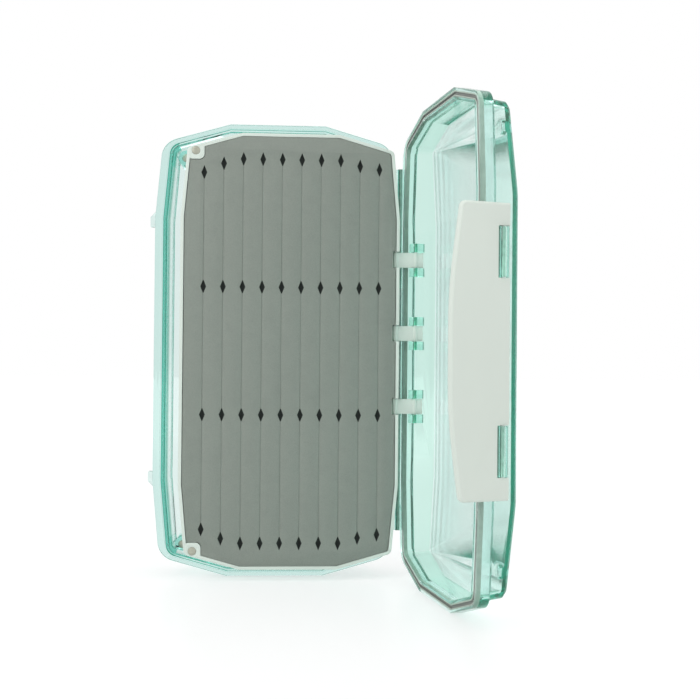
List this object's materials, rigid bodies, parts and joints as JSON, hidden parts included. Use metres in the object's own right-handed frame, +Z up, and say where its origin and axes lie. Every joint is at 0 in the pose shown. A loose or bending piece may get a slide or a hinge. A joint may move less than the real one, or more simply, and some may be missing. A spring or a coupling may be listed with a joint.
{
  "type": "fly box",
  "caption": "Clear green waterproof fly box standing open on end, with a foam swing leaf on links, a sealed lid and a long side latch.",
  "frame": {"origin": "middle of the base's lower end flat, on the surface that the open box stands on", "axes": "+Z up along the box and parallel to the main hinge, -Y out of the base's cavity, +X from the latch side of the base towards the hinge"},
  "size_m": [0.1356, 0.1344, 0.19],
  "materials": {
    "clear_shell": "clear tinted polycarbonate, polished, pale mint on its faces and dark green through its edges",
    "seal_rubber": "soft grey silicone with a darker channel",
    "white_plastic": "moulded off-white plastic, fine satin",
    "leaf_plastic": "moulded off-white plastic, satin",
    "foam": "dense closed-cell foam, matt grey-green",
    "magnet": "plated disc, dull",
    "pin_steel": "drawn stainless rod"
  },
  "bodies": {
    "base": {"base_shell": "clear_shell", "hinge_pin": "pin_steel", "base_magnet_upper": "magnet", "base_magnet_lower": "magnet"},
    "lid": {"lid_shell": "clear_shell", "gasket": "seal_rubber", "latch_pin_upper": "pin_steel", "latch_pin_lower": "pin_steel", "lid_link_pin_upper": "pin_steel", "lid_link_pin_middle": "pin_steel", "lid_link_pin_lower": "pin_steel"},
    "links": {"leaf_link_upper": "leaf_plastic", "leaf_link_middle": "leaf_plastic", "leaf_link_lower": "leaf_plastic"},
    "leaf": {"leaf_frame": "leaf_plastic", "leaf_foam_front": "foam", "leaf_foam_back": "foam", "leaf_magnet_upper": "magnet", "leaf_magnet_lower": "magnet", "leaf_pin": "pin_steel"},
    "latch": {"latch": "white_plastic"}
  },
  "joints": [
    {"name": "lid_hinge", "type": "hinge", "parent": "base", "child": "lid", "pos_m": [0.05204, -0.0027, 0.095], "axis": [0, 0, 1], "range_deg": [-99, 66]},
    {"name": "link_pivot", "type": "hinge", "parent": "lid", "child": "links", "pos_m": [0.05784, -0.01058, 0.095], "axis": [0, 0, 1], "range_deg": [-3.66, 5.45]},
    {"name": "leaf_pivot", "type": "hinge", "parent": "links", "child": "leaf", "pos_m": [0.04955, -0.01037, 0.095], "axis": [0, 0, 1], "range_deg": [-62.54, 93.75]},
    {"name": "latch_hinge", "type": "hinge", "parent": "lid", "child": "latch", "pos_m": [0.07583, -0.10498, 0.095], "axis": [0, 0, 1], "range_deg": [-9, 95]}
  ],
  "couplings": [
    {"joint": "link_pivot", "follows": "lid_hinge", "ratio": -0.054},
    {"joint": "leaf_pivot", "follows": "lid_hinge", "ratio": -0.946}
  ]
}
